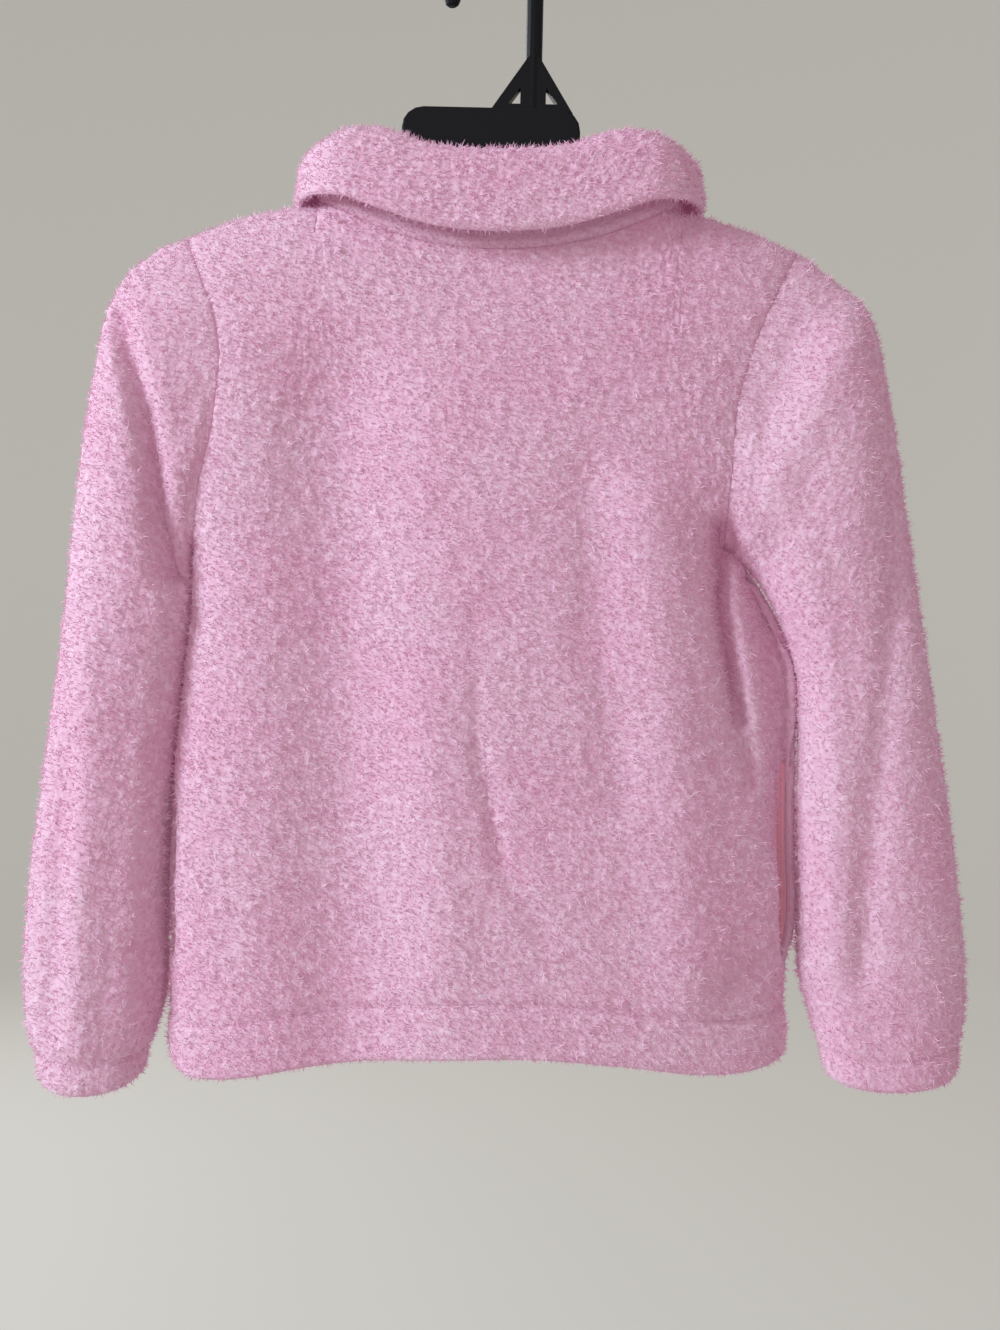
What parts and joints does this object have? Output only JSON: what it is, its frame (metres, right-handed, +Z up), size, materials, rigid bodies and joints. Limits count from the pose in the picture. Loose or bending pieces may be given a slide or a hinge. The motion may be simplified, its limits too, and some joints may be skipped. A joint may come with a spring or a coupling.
{
  "type": "sherpa jacket on a hanger",
  "caption": "Child's curly sherpa fleece jacket with a folded collar, zip front and side-seam pockets, hanging on a plastic hanger.",
  "frame": {"origin": "inside of the hook's crown, where a rail carries the hanger", "axes": "+Z up, -Y the jacket's own front, +Y its back, +X its own left side"},
  "size_m": [0.5162, 0.083, 0.6355],
  "materials": {
    "pink_sherpa": "curly pile",
    "coral_knit": "smooth knit",
    "zip_tape": "woven tape",
    "pink_moulding": "moulded",
    "black_plastic": "satin"
  },
  "bodies": {
    "jacket": {"back": "pink_sherpa", "front_right": "pink_sherpa", "front_left": "pink_sherpa", "sleeve_left": "pink_sherpa", "sleeve_right": "pink_sherpa", "collar": "pink_sherpa", "pocket_left": "coral_knit", "pocket_right": "coral_knit", "zip_tape_left": "zip_tape", "zip_tape_right": "zip_tape", "zip_box": "pink_moulding", "zip_slider": "pink_moulding", "hanger": "black_plastic"},
    "pull": {"zip_pull": "pink_moulding"}
  },
  "joints": [
    {"name": "pull_hinge", "type": "hinge", "parent": "jacket", "child": "pull", "pos_m": [-0.0021, -0.02591, -0.2145], "axis": [-1, 0, 0], "range_deg": [0, 150]}
  ]
}
